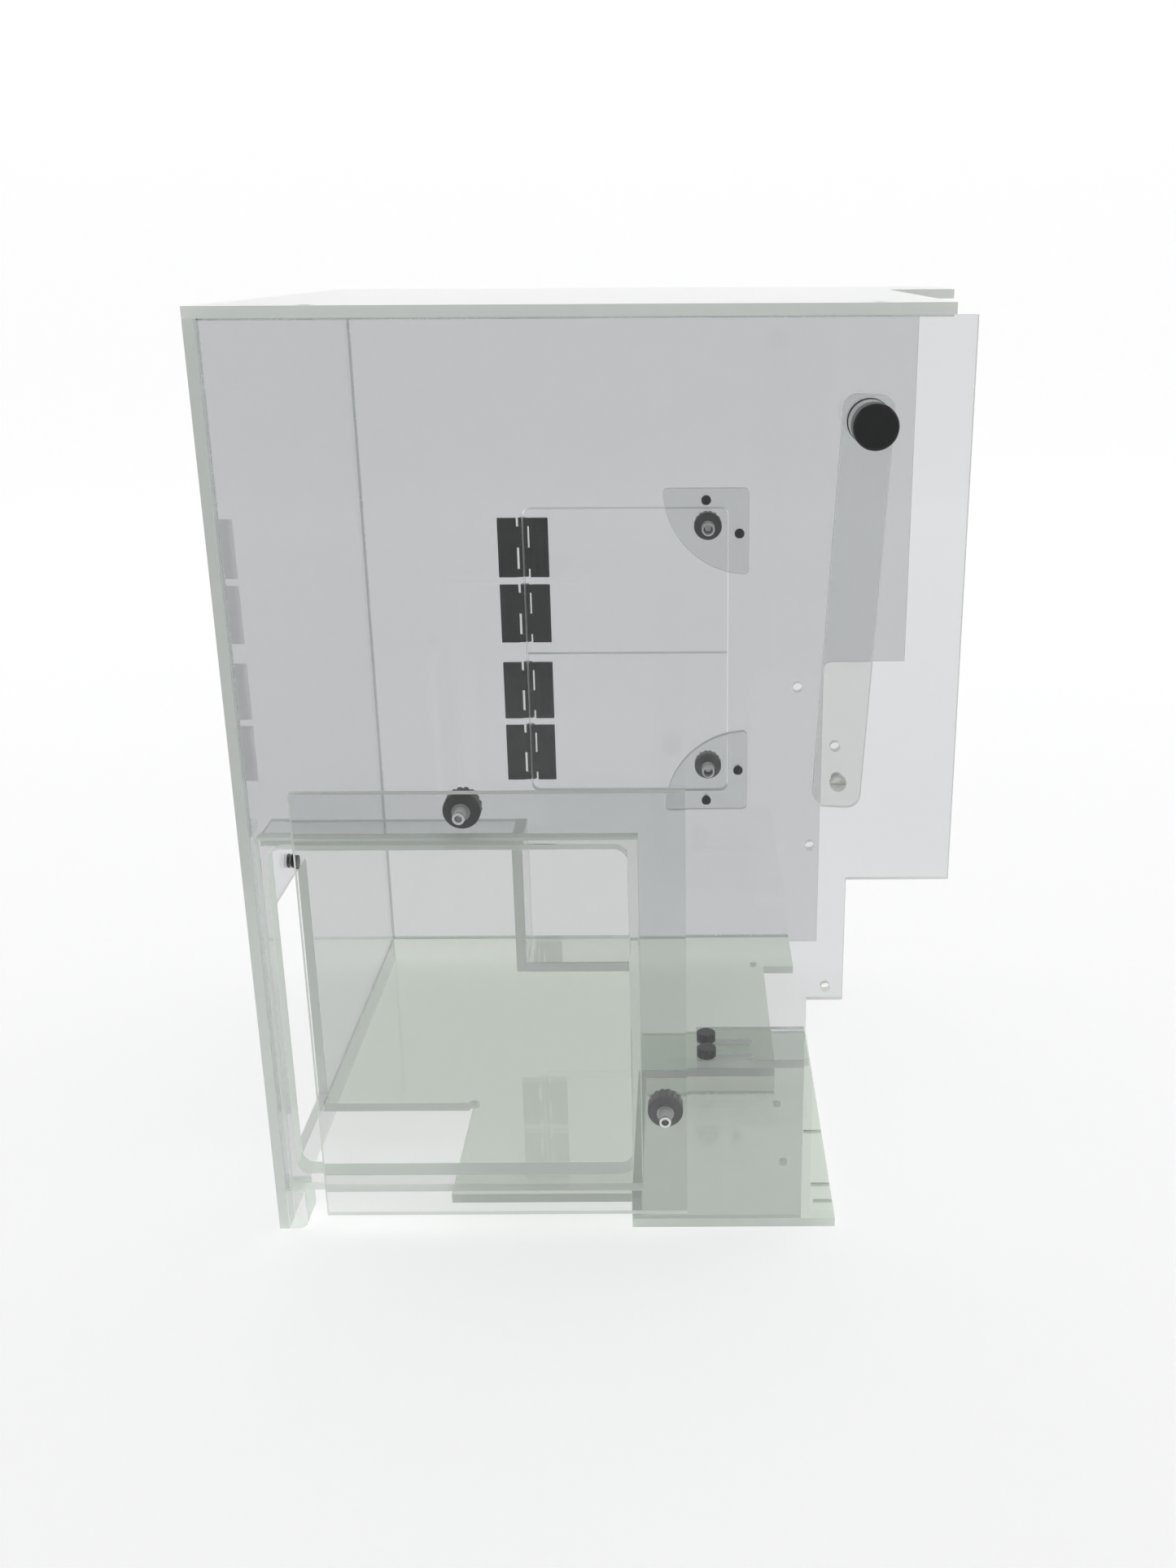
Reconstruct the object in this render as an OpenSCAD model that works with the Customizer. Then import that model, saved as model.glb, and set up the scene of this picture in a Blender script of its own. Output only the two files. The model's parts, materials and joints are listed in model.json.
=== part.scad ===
// Clear acrylic enclosure that stands around an inverted microscope.
// X runs along the doored front panel, Y runs from the back panel to the
// front panel, Z is up. Inside the modules, corner coordinates start at the
// outer back edge of the side panel, at foot level.

/* [Box] */
// Thickness of the acrylic sheet
sheet = 6; // [5:0.5:6.5]
// Width of the top panel
box_w = 434; // [430:1:445]
// Depth over the back and front panels
box_d = 378; // [374:1:390]
// Height over the top panel
box_h = 545; // [540:1:570]
// Radius of the routed inside corners
corner_r = 6; // [3:0.5:7]

/* [Cut-outs] */
// Width of the corner taken out of the top panel
top_notch_w = 44; // [30:1:60]
// Depth of the corner taken out of the top panel
top_notch_d = 272; // [200:1:300]
// Reach of the front panel above its step
front_w = 426; // [420:1:428]
// Reach of the front panel below its step
front_low_w = 362; // [350:1:380]
// Height of the step in the front panel
front_step_z = 263; // [240:1:290]
// Reach of the back panel above its steps
back_w = 401; // [390:1:410]
// Height of the upper step in the back panel
back_step_z = 232; // [215:1:245]
// Height of the lower step in the back panel
back_low_z = 156; // [120:1:180]

/* [Doors] */
// Width of the door opening
door_w = 159; // [156:1:161]
// Height of both doors together
doors_h = 229; // [225:1:235]
// Gap around a door
door_gap = 0.8; // [0.6:0.1:1]

/* [Hardware] */
// Diameter of the black thumb knobs
knob_d = 21.5; // [20:0.5:23]
// Diameter of the knob on the swing arm
arm_knob_d = 23; // [21:0.5:25]
// Length of one hinge along its pin
hinge_h = 46; // [44:0.5:48]
// Width of an open hinge
hinge_w = 39; // [37:0.5:41]

/* [Hidden] */
$fn = 64;
e = 0.01;

// Fits
body_gap = 0.3;
run_gap = 0.05;

// Main levels
wall_top = box_h - sheet;
front_y = box_d - sheet;
foot_top = sheet;
floor_z = 20;
floor_top = floor_z + sheet;

// Floor outline
floor_far_x = 338;
floor_mid_x = 314;
floor_near_x = 224;
floor_mid_y = 312;
low_y = 150;
low_x = [218, 343];
low_d = 235;
floor_notch = [108, 106];
relief_r = 3.5;
mid_hole = [306, 318];

// Back panel
back_mid_x = 343;
back_low_x = 322;
window_x = [9, 225];
window_z = [28, 258];
arm_holes = [[313.5, 345], [322, 252.5], [333, 164]];
small_hole_d = 5.4;

// Window frame, ledge and duct
rim = 6;
sill = 12;
rim_depth = 13;
rim_r = 8;
ledge_depth = 37;
ledge_x = 10;
duct_x = 154;
duct_z = 176;

// Window in the side panel
side_win_y = [43, 119];
side_win_z = [26, 200];
plug_at = [85, 211];

// Door opening and doors
door_x = 127.5;
door_z = 156;
door_mid_z = door_z + doors_h / 2;
door_t = sheet - body_gap;
door_y = front_y + body_gap;

// Hinges on the outer face of the front panel
leaf_t = 3;
knuckle_d = 7;
pin_d = 3;
hinge_x = door_x;
hinge_y = box_d + knuckle_d / 2 + body_gap;
hinge_offset = 26;
upper_hinges = [for (s = [-1, 1]) door_mid_z + doors_h / 4 + s * hinge_offset];
lower_hinges = [for (s = [-1, 1]) door_mid_z - doors_h / 4 + s * hinge_offset];
knuckle_ends = [0, 0.14, 0.5, 0.86, 1];
knuckle_gap = 0.4;
barrel_gap = 1.6;
pocket = [2.4, 7];

// Keeper plates behind the outer corners of the doors
keeper_r = 66;
keeper_x = 302;
keeper_z = [141, 400];
latch_x = 270.5;
latch_inset = 30;
latch_z = [keeper_z[0] + latch_inset + 4.5, keeper_z[1] - latch_inset];
keeper_screw_in = [[33, 8.5], [7.5, 34]];
keeper_screw_d = 7.5;
bushing_d = 10;
bushing_bore = 7;
bushing_reach = 7;

// Studs and knobs
stud_d = 5;
knob_h = 10;
knob_flutes = 16;
flute_d = 2.4;

// Access cover over the window
cover_x = [32, 252];
cover_z = [14, 287];
cover_knobs = [[126, 273], [239, 79]];
tube_d = 7;
tube_bore = 4.2;
tube_reach = 1.8;
collar_d = 10.5;
collar_t = 2.4;

// Swing arm
arm_pivot = [336, 293];
arm_w = 26.5;
arm_tail = 15;
arm_len = 208;
arm_tilt = 3.1;
arm_knob_z = 195;
arm_spot_z = 20;
pivot_d = 6;
arm_parts = [4, 16, 12];

// Slide plate on the main floor
slide_x = [259, 338];
slide_y = [low_y, low_y + 50];
slide_screws_y = [low_y + 7, low_y + 29];
slide_screw_x = 266;
slide_travel = 30;
slot_w = 5;
slide_screw_d = 13.6;
slide_stem_d = 4;
screw_rest = 1;

// Origin: middle of the whole, at foot level
arm_knob_y = -sheet - body_gap;
most_back = arm_knob_y - body_gap - arm_parts[0] - arm_parts[1] - arm_parts[2];
most_front = box_d + body_gap + knob_h;
plug_rim = 1.2;
centre = [(box_w - plug_rim) / 2, (most_back + most_front) / 2, 0];

module place() {
    translate(-centre) children();
}

// A plate in the XZ plane between two Y values, from a 2D outline
module upright(y0, t) {
    translate([0, y0 + t, 0])
        rotate([90, 0, 0])
            linear_extrude(t) children();
}

// A plate in the YZ plane from X = x0, from a 2D outline given as (y, z)
module sideways(x0, t) {
    translate([x0, 0, 0])
        rotate([90, 0, 90])
            linear_extrude(t) children();
}

module rect(a, b) {
    translate(a) square(b - a);
}

module round_rect(a, b, r) {
    hull()
        for (x = [a[0] + r, b[0] - r], z = [a[1] + r, b[1] - r])
            translate([x, z]) circle(r, $fn = 32);
}

// A rectangle with arcs at its corners, built without hull() so that
// the rounded corners stay true arcs
module soft_rect(a, b, r) {
    rect([a[0] + r, a[1]], [b[0] - r, b[1]]);
    rect([a[0], a[1] + r], [b[0], b[1] - r]);
    for (x = [a[0] + r, b[0] - r], z = [a[1] + r, b[1] - r])
        translate([x, z]) circle(r);
}

// A rod along Y
module rod_y(x, z, y0, y1, d) {
    translate([x, y1, z])
        rotate([90, 0, 0]) cylinder(d = d, h = y1 - y0);
}

// ---------------------------------------------------------------- box

module top_panel() {
    hole_d = 8;
    color("lightcyan", 0.35)
        translate([0, 0, wall_top])
            linear_extrude(sheet)
                difference() {
                    square([box_w, box_d]);
                    rect([box_w - top_notch_w, -1],
                         [box_w + 1, top_notch_d]);
                    for (x = [60, 352])
                        translate([x, 11]) circle(d = hole_d);
                }
}

module side_panel() {
    color("lightcyan", 0.35)
        difference() {
            sideways(0, sheet)
                difference() {
                    square([front_y, wall_top]);
                    soft_rect([side_win_y[0], side_win_z[0]],
                              [side_win_y[1], side_win_z[1]], 3);
                }
            translate([-e, plug_at[0], plug_at[1]])
                rotate([0, 90, 0]) cylinder(d = 5, h = sheet + 1);
        }
}

module front_panel() {
    door_top = door_z + doors_h;
    color("lightcyan", 0.35)
        difference() {
            upright(front_y, sheet)
                difference() {
                    rect([0, floor_z], [front_w, wall_top]);
                    difference() {
                        rect([front_low_w, 0], [front_w + 1, front_step_z]);
                        translate([front_low_w, front_step_z - corner_r])
                            difference() {
                                square(corner_r);
                                translate([corner_r, 0])
                                    circle(corner_r);
                            }
                    }
                    soft_rect([door_x, door_z],
                              [door_x + door_w, door_top], corner_r);
                }
            for (p = keeper_screw_points())
                rod_y(p[0], p[1], front_y - 1, box_d + 1, 4);
        }
}

module back_panel() {
    color("lightcyan", 0.35)
        difference() {
            upright(0, sheet)
                difference() {
                    rect([sheet, foot_top], [back_w, wall_top]);
                    rect([back_mid_x, 0], [back_w + 1, back_step_z]);
                    rect([back_low_x, 0], [back_w + 1, back_low_z]);
                    rect([0, 0], [low_x[0], window_z[0] - 1]);
                    rect([window_x[0], 0], [low_x[0], window_z[0] + 1]);
                    rect([window_x[0], window_z[0]],
                         [window_x[1], window_z[1]]);
                }
            for (p = arm_holes)
                rod_y(p[0], p[1], -1, sheet + 1, small_hole_d);
            for (p = cover_knobs)
                rod_y(p[0], p[1], -1, sheet + 1, tube_d + 2 * run_gap);
            rod_y(arm_pivot[0], arm_pivot[1], -1, sheet + 1,
                  pivot_d + 2 * run_gap);
        }
}

module floor_panel() {
    color("lightcyan", 0.35)
        difference() {
            translate([0, 0, floor_z])
                linear_extrude(sheet)
                    difference() {
                        rect([sheet, 0], [floor_far_x, front_y]);
                        rect([floor_mid_x, -1], [box_w, floor_mid_y]);
                        rect([floor_near_x, -1], [box_w, low_y]);
                        rect([low_x[0], -1], [box_w, sheet]);
                        rect([0, -1], floor_notch);
                        translate(floor_notch) circle(relief_r);
                        translate(mid_hole) circle(d = small_hole_d);
                    }
            for (y = slide_screws_y)
                translate([slide_screw_x, y, floor_z + screw_rest])
                    cylinder(d = slide_stem_d + 2 * run_gap, h = sheet);
        }
}

module lower_floor() {
    edge_hole_d = 3.2;
    edge_hole_l = 12;
    color("lightcyan", 0.35)
        difference() {
            linear_extrude(foot_top)
                difference() {
                    rect([low_x[0], 0], [low_x[1], low_d]);
                    for (y = [66, 138])
                        translate([315, y]) circle(d = small_hole_d);
                }
            for (y = [20, 38, 100])
                translate([low_x[1] - edge_hole_l, y, foot_top / 2])
                    rotate([0, 90, 0])
                        cylinder(d = edge_hole_d, h = edge_hole_l + 1);
        }
}

// Low wall that carries the edge of the main floor over the lower floor
module side_riser() {
    color("lightcyan", 0.35)
        translate([low_x[0], sheet, foot_top])
            cube([floor_near_x - low_x[0], low_y - sheet,
                  floor_z - foot_top]);
}

module cross_riser() {
    color("lightcyan", 0.35)
        upright(low_y, sheet)
            rect([low_x[0], foot_top], [floor_mid_x, floor_z]);
}

module corner_foot() {
    color("lightcyan", 0.35)
        translate([sheet, 0, 0])
            upright(0, 22)
                difference() {
                    square([12, window_z[0] - 1]);
                    difference() {
                        translate([6, -1]) square([7, 7]);
                        translate([6, 6]) circle(6);
                    }
                }
}

// ------------------------------------------------- window and its duct

module window_frame() {
    color("lightcyan", 0.45)
        upright(0, rim_depth)
            difference() {
                rect([window_x[0], window_z[0]], [window_x[1], window_z[1]]);
                soft_rect([window_x[0] + rim, window_z[0] + sill],
                          [window_x[1] - rim, window_z[1] - rim], rim_r);
            }
}

module ledge_plate() {
    color("lightcyan", 0.45)
        translate([ledge_x, rim_depth, window_z[1] - rim])
            cube([duct_x - ledge_x, ledge_depth - rim_depth, sheet]);
}

module duct_wall() {
    color("lightcyan", 0.45) {
        sideways(duct_x, sheet) {
            rect([0, duct_z], [ledge_depth, window_z[1] - rim]);
            rect([rim_depth, duct_z], [ledge_depth, window_z[1]]);
        }
    }
}

module duct_shelf() {
    x0 = duct_x + sheet;
    color("lightcyan", 0.45)
        translate([x0, 0, duct_z])
            cube([window_x[1] - rim - x0, ledge_depth, sheet]);
}

// ------------------------------------------------ keepers and latches

function keeper_screw_points() = concat(
    [for (p = keeper_screw_in) [keeper_x - p[0], keeper_z[0] + p[1]]],
    [for (p = keeper_screw_in) [keeper_x - p[0], keeper_z[1] - p[1]]]);

// Quarter disc with its square corner at the outside
module keeper(corner_z, up) {
    color("lightcyan", 0.45)
        difference() {
            upright(front_y - sheet, sheet)
                intersection() {
                    translate([keeper_x, corner_z]) circle(keeper_r, $fn = 128);
                    soft_rect(
                        [keeper_x - keeper_r,
                         min(corner_z, corner_z + up * keeper_r)],
                        [keeper_x, max(corner_z, corner_z + up * keeper_r)], 4);
                }
            for (p = keeper_screw_points())
                rod_y(p[0], p[1], front_y - sheet - 1, front_y + 1, 4);
            for (z = latch_z)
                rod_y(latch_x, z, front_y - sheet - 1, front_y + 1,
                      bushing_d + 0.1);
        }
}

module upper_keeper() {
    keeper(keeper_z[1], -1);
}

module lower_keeper() {
    keeper(keeper_z[0], 1);
}

module keeper_bushings() {
    y0 = front_y - sheet - bushing_reach;
    color("silver")
        for (z = latch_z)
            difference() {
                rod_y(latch_x, z, y0, front_y, bushing_d);
                rod_y(latch_x, z, y0 - 1, front_y + 1, bushing_bore);
            }
}

module keeper_screws() {
    head_t = 2.2;
    y0 = front_y - sheet;
    color("black")
        for (p = keeper_screw_points())
            difference() {
                union() {
                    rod_y(p[0], p[1], y0 - head_t, y0, keeper_screw_d);
                    rod_y(p[0], p[1], y0 - e, box_d, 3.9);
                }
                translate([p[0] - 0.6, y0 - head_t - 1, p[1] - 5])
                    cube([1.2, 2, 10]);
            }
}

// --------------------------------------------------------------- hinges

module pin_z(z, d) {
    translate([hinge_x, hinge_y, z - hinge_h / 2])
        cylinder(d = d, h = hinge_h);
}

// One leaf of a hinge centred at z. side is -1 for the frame leaf and
// 1 for the door leaf; the knuckles of the two leaves alternate.
module hinge_leaf(z, side, first, face_y) {
    barrel = knuckle_d / 2 + barrel_gap;
    x0 = side < 0 ? hinge_x - hinge_w / 2 : hinge_x + barrel;
    x1 = side < 0 ? hinge_x - barrel : hinge_x + hinge_w / 2;
    z0 = z - hinge_h / 2;
    difference() {
        union() {
            translate([x0, face_y, z0])
                cube([x1 - x0, leaf_t, hinge_h]);
            for (i = [first, first + 2]) {
                k0 = z0 + knuckle_ends[i] * hinge_h + knuckle_gap / 2;
                kh = (knuckle_ends[i + 1] - knuckle_ends[i]) * hinge_h
                     - knuckle_gap;
                translate([hinge_x, hinge_y, k0])
                    cylinder(d = knuckle_d, h = kh);
                translate([side < 0 ? x1 - 1 : hinge_x,
                           face_y + body_gap, k0])
                    cube([barrel + 1, leaf_t - body_gap, kh]);
            }
        }
        pin_z(z, pin_d + 2 * run_gap);
        for (s = [-1, 1], dx = [0.28, 0.72])
            translate([x0 + dx * (x1 - x0) - pocket[0] / 2, face_y - 1,
                       z + s * hinge_h * 0.32 - pocket[1] / 2])
                cube([pocket[0], 2.4, pocket[1]]);
    }
}

module frame_hinge_leaves() {
    color("dimgray")
        for (z = concat(upper_hinges, lower_hinges))
            hinge_leaf(z, -1, 0, box_d);
}

module hinge_pins() {
    color("silver")
        for (z = concat(upper_hinges, lower_hinges))
            pin_z(z, pin_d);
}

module upper_door_leaves() {
    color("dimgray")
        for (z = upper_hinges)
            hinge_leaf(z, 1, 1, box_d);
}

module lower_door_leaves() {
    color("dimgray")
        for (z = lower_hinges)
            hinge_leaf(z, 1, 1, box_d);
}

// ---------------------------------------------------------------- doors

// A door between two heights; far_z is the edge at the end of the opening,
// where both corners are rounded
module door(z0, z1, far_z, latch) {
    x0 = door_x + door_gap;
    x1 = door_x + door_w - door_gap;
    color("lightcyan", 0.35)
        difference() {
            upright(door_y, door_t)
                intersection() {
                    rect([x0, z0], [x1, z1]);
                    if (far_z == z1)
                        soft_rect([x0, z0 - 2 * corner_r], [x1, z1], corner_r);
                    else
                        soft_rect([x0, z0], [x1, z1 + 2 * corner_r], corner_r);
                }
            rod_y(latch_x, latch, door_y - 1, box_d + 1,
                  stud_d + 2 * run_gap);
        }
}

module upper_door() {
    z1 = door_z + doors_h - door_gap;
    door(door_mid_z + door_gap / 2, z1, z1, latch_z[1]);
}

module lower_door() {
    z0 = door_z + door_gap;
    door(z0, door_mid_z - door_gap / 2, z0, latch_z[0]);
}

// ---------------------------------------------------------------- knobs

// Fluted knob that starts at y0 and grows along +Y, with a blind bore
module thumb_knob(x, z, y0) {
    translate([x, y0, z])
        rotate([-90, 0, 0])
            color("black")
                difference() {
                    rotate_extrude()
                        polygon([
                            [0, 0], [knob_d / 2 - 1, 0], [knob_d / 2, 1],
                            [knob_d / 2, knob_h - 2.5],
                            [knob_d / 2 - 2, knob_h - 0.5],
                            [knob_d / 2 - 4, knob_h], [0, knob_h]
                        ]);
                    translate([0, 0, -1])
                        cylinder(d = stud_d + 0.04, h = knob_h - 3);
                    for (i = [0:knob_flutes - 1])
                        rotate(i * 360 / knob_flutes)
                            translate([knob_d / 2 + 0.5, 0, 3])
                                cylinder(d = flute_d, h = knob_h, $fn = 16);
                }
}

module stud(x, z, y0, y1) {
    color("silver") rod_y(x, z, y0, y1, stud_d);
}

module door_knob(z) {
    thumb_knob(latch_x, z, box_d + body_gap);
}

module door_stud(z) {
    stud(latch_x, z, front_y - sheet, box_d + knob_h - 4);
}

module cover_knob(p) {
    thumb_knob(p[0], p[1], sheet + body_gap + collar_t);
}

// Hollow tube through the back panel and the cover, with a collar that
// bears on the inner face and a stem in the knob
module cover_stud(p) {
    y0 = -sheet - body_gap - tube_reach;
    y1 = sheet + body_gap;
    color("silver")
        difference() {
            union() {
                rod_y(p[0], p[1], y0, y1 + e, tube_d);
                rod_y(p[0], p[1], y1, y1 + collar_t, collar_d);
                rod_y(p[0], p[1], y1, y1 + collar_t + knob_h - 5, stud_d);
            }
            rod_y(p[0], p[1], y0 - 1, y0 + 9, tube_bore);
        }
}

// --------------------------------------------------------- access cover

module access_cover() {
    color("lightcyan", 0.35)
        difference() {
            upright(-sheet - body_gap, sheet)
                rect([cover_x[0], cover_z[0]], [cover_x[1], cover_z[1]]);
            for (p = cover_knobs)
                rod_y(p[0], p[1], -sheet - 1, 1, tube_d + 2 * run_gap);
        }
}

// ------------------------------------------------------------ swing arm

module at_arm() {
    translate([arm_pivot[0], -body_gap, arm_pivot[1]])
        rotate([0, arm_tilt, 0]) children();
}

module swing_arm() {
    color("lightcyan", 0.45)
        at_arm()
            difference() {
                upright(-sheet, sheet)
                    soft_rect([-arm_w / 2, -arm_tail],
                              [arm_w / 2, arm_len], 7.5);
                rod_y(0, 0, -sheet - 1, 1, pivot_d + 2 * run_gap);
                rod_y(-3, arm_spot_z, -sheet - 1, 1, small_hole_d);
                rod_y(0, arm_knob_z, -sheet - 1, 1, stud_d);
            }
}

module arm_pivot_screw() {
    head_d = 9;
    y0 = -sheet - 2 * body_gap;
    color("whitesmoke")
        difference() {
            union() {
                rod_y(arm_pivot[0], arm_pivot[1], y0 - 3, y0, head_d);
                rod_y(arm_pivot[0], arm_pivot[1], y0 - e, sheet, pivot_d);
            }
            translate([arm_pivot[0] - 5, y0 - 4, arm_pivot[1] - 0.6])
                cube([10, 2, 1.2]);
        }
}

module arm_knob_part(y0, h, d) {
    at_arm()
        translate([0, y0, arm_knob_z])
            rotate([90, 0, 0]) cylinder(d = d, h = h, $fn = 96);
}

module arm_knob_base() {
    color("black") {
        arm_knob_part(arm_knob_y, arm_parts[0], arm_knob_d);
        arm_knob_part(-body_gap, sheet + 1, stud_d - 2 * run_gap);
    }
}

module arm_knob_grip() {
    ribs = 40;
    rib_d = 1.2;
    y0 = arm_knob_y - arm_parts[0];
    color("silver")
        difference() {
            arm_knob_part(y0, arm_parts[1], arm_knob_d - 0.6);
            at_arm()
                translate([0, y0 - 2, arm_knob_z])
                    rotate([90, 0, 0])
                        for (i = [0:ribs - 1])
                            rotate(i * 360 / ribs)
                                translate([arm_knob_d / 2, 0, 0])
                                    cylinder(d = rib_d,
                                             h = arm_parts[1] - 4, $fn = 16);
        }
}

module arm_knob_cap() {
    y0 = arm_knob_y - arm_parts[0] - arm_parts[1];
    color("black")
        at_arm()
            translate([0, y0, arm_knob_z])
                rotate([90, 0, 0])
                    rotate_extrude($fn = 96)
                        polygon([
                            [0, 0], [arm_knob_d / 2, 0],
                            [arm_knob_d / 2, arm_parts[2] - 1],
                            [arm_knob_d / 2 - 1, arm_parts[2]],
                            [0, arm_parts[2]]
                        ]);
}

// ------------------------------------------- slide plate and its screws

module slide_plate() {
    color("lightcyan", 0.45)
        translate([0, 0, floor_top + body_gap])
            linear_extrude(sheet)
                difference() {
                    rect([slide_x[0], slide_y[0]], [slide_x[1], slide_y[1]]);
                    for (y = slide_screws_y)
                        hull()
                            for (x = [0, slide_travel])
                                translate([slide_screw_x + x, y])
                                    circle(d = slot_w, $fn = 32);
                }
}

module slide_screw(y) {
    z0 = floor_top + sheet + 2 * body_gap;
    tip_z = floor_z + screw_rest + body_gap;
    color("black")
        translate([slide_screw_x, y, 0])
            difference() {
                union() {
                    translate([0, 0, z0]) cylinder(d = slide_screw_d, h = 7);
                    translate([0, 0, tip_z])
                        cylinder(d = slide_stem_d, h = z0 - tip_z + 1);
                }
                for (i = [0:11])
                    rotate(i * 30)
                        translate([slide_screw_d / 2 + 0.4, 0, z0 + 1.5])
                            cylinder(d = 2, h = 7, $fn = 16);
            }
}

// Black plastic screw in the side panel
module vent_plug() {
    color("black")
        translate([0, plug_at[0], plug_at[1]])
            rotate([0, 90, 0]) {
                translate([0, 0, sheet]) cylinder(d = 9, h = 4.4);
                cylinder(d = 4.9, h = sheet + 1);
                translate([0, 0, -plug_rim]) cylinder(d = 9, h = plug_rim);
            }
}

place() top_panel();
place() side_panel();
place() front_panel();
place() back_panel();
place() floor_panel();
place() lower_floor();
place() side_riser();
place() cross_riser();
place() corner_foot();
place() window_frame();
place() ledge_plate();
place() duct_wall();
place() duct_shelf();
place() upper_keeper();
place() lower_keeper();
place() keeper_bushings();
place() keeper_screws();
place() frame_hinge_leaves();
place() hinge_pins();
place() vent_plug();
place() arm_pivot_screw();
place() upper_door();
place() upper_door_leaves();
place() lower_door();
place() lower_door_leaves();
place() door_knob(latch_z[1]);  // upper_door_knob
place() door_stud(latch_z[1]);  // upper_door_stud
place() door_knob(latch_z[0]);  // lower_door_knob
place() door_stud(latch_z[0]);  // lower_door_stud
place() cover_knob(cover_knobs[0]);  // top_cover_knob
place() cover_stud(cover_knobs[0]);  // top_cover_stud
place() cover_knob(cover_knobs[1]);  // side_cover_knob
place() cover_stud(cover_knobs[1]);  // side_cover_stud
place() access_cover();
place() swing_arm();
place() arm_knob_base();
place() arm_knob_grip();
place() arm_knob_cap();
place() slide_plate();
place() slide_screw(slide_screws_y[0]);  // near_slide_screw
place() slide_screw(slide_screws_y[1]);  // far_slide_screw
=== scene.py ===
# %% [markdown]
# # A clear acrylic enclosure for a microscope
# The object is half of a box made from 6 mm cast acrylic sheet. It has two
# small hinged doors held by black thumb knobs, a lift-off cover, a swing arm
# with a knurled knob, and a slide plate. Its joints and sizes come from the
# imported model, which the first cell loads. Every later cell gives one kind of
# piece its real surface, or makes a piece that a plain solid can't show.

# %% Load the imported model
import json
import math

import bmesh
import bpy
from mathutils import Matrix, Vector


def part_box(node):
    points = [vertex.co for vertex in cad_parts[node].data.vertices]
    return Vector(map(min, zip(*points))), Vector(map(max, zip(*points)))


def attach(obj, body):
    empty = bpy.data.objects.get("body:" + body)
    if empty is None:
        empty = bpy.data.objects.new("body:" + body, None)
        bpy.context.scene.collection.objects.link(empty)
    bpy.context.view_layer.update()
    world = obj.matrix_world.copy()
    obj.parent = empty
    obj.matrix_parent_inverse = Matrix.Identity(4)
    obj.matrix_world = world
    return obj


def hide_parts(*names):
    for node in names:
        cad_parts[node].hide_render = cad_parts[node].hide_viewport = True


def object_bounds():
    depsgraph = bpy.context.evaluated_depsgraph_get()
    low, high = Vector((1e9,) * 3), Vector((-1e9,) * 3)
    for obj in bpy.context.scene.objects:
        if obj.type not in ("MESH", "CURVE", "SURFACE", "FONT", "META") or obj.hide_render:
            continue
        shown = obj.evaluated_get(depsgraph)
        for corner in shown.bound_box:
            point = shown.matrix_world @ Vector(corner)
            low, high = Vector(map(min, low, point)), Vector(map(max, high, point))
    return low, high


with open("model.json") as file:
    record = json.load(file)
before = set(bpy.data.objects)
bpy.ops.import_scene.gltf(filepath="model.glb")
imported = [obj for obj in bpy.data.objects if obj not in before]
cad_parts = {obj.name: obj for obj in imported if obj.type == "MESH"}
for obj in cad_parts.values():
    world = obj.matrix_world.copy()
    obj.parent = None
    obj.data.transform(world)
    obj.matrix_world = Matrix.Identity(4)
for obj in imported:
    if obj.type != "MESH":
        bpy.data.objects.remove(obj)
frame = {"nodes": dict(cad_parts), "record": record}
cad_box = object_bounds()
nodes = frame["nodes"]
BODY_OF = {
    node: body
    for body, members in frame["record"]["behaviour"]["bodies"].items()
    for node in members
}
MM = 0.001

# %% [markdown]
# ## Two small helpers
# Colours are easier to choose as the hex values that a paint chart or a
# browser shows, but shaders work in linear light. One function turns one into
# the other. Node trees are wired by hand in code, so a second function adds a
# node, sets it up and links its inputs in one call.


# %% Colour and node helpers
def linear(hex_code):
    """Linear RGBA from an sRGB hex code such as "dfe6e2"."""
    channels = [int(hex_code[i : i + 2], 16) / 255 for i in (0, 2, 4)]
    bent = [c / 12.92 if c <= 0.04045 else ((c + 0.055) / 1.055) ** 2.4 for c in channels]
    return (*bent, 1.0)


def add(tree, kind, links=None, **settings):
    """Adds a node, sets its properties and input values, and links its inputs."""
    node = tree.nodes.new(kind)
    for key, value in settings.items():
        if hasattr(node, key):
            setattr(node, key, value)
        else:
            node.inputs[key.replace("_", " ")].default_value = value
    for key, source in (links or {}).items():
        if isinstance(source, bpy.types.NodeSocket):
            tree.links.new(source, node.inputs[key])
        else:
            node.inputs[key].default_value = source
    return node


def new_material(name):
    """An empty node material with its output node."""
    material = bpy.data.materials.new(name)
    material.use_nodes = True
    material.node_tree.nodes.clear()
    out = add(material.node_tree, "ShaderNodeOutputMaterial")
    return material, material.node_tree, out


print("linear of dfe6e2:", [round(c, 3) for c in linear("dfe6e2")])

# %% [markdown]
# ## Cast acrylic sheet
# Acrylic lets about 92 percent of light through a sheet and bends it with an
# index of 1.49. Its two rolled faces are as smooth as glass, with a few
# hairline scratches from years of wiping. Its cut edges are different: they
# were sawn and scraped, so they scatter the light that runs along inside the
# sheet, and look pale, helped by a faint glow painted on them. One material
# does both, because a face's own normal says which of the two it is. A sheet
# may lie across X, Y or Z, so the material is made once for each. The big
# panels and the floor have tints of their own, grey on the panels and faint
# green on the floor, which darken what shows through them.

# %% Cast acrylic
SHEET_IOR = 1.49
# Tints of the big panels and the floor, which darken what shows through them
GREY_PANEL_TINT = linear("e0e1e2")
GREEN_FLOOR_TINT = linear("dbe2d9")
CLEAR_TINT = linear("eeefee")
EDGE_TINT = linear("eaeeea")
BACKLIT_TINT = linear("f3f6f3")
SHADE_TINT = linear("f4f6f5")
EDGE_CLEAR = 0.15
EDGE_BACKLIT = 0.5
# Strength of the glow painted on the sawn edges, in the pale edge tint
EDGE_GLOW = 0.14
# How squarely a normal looks along the axis, from a sure edge to a sure face
EDGE_BELOW = 0.75
FACE_ABOVE = 0.95
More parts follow.
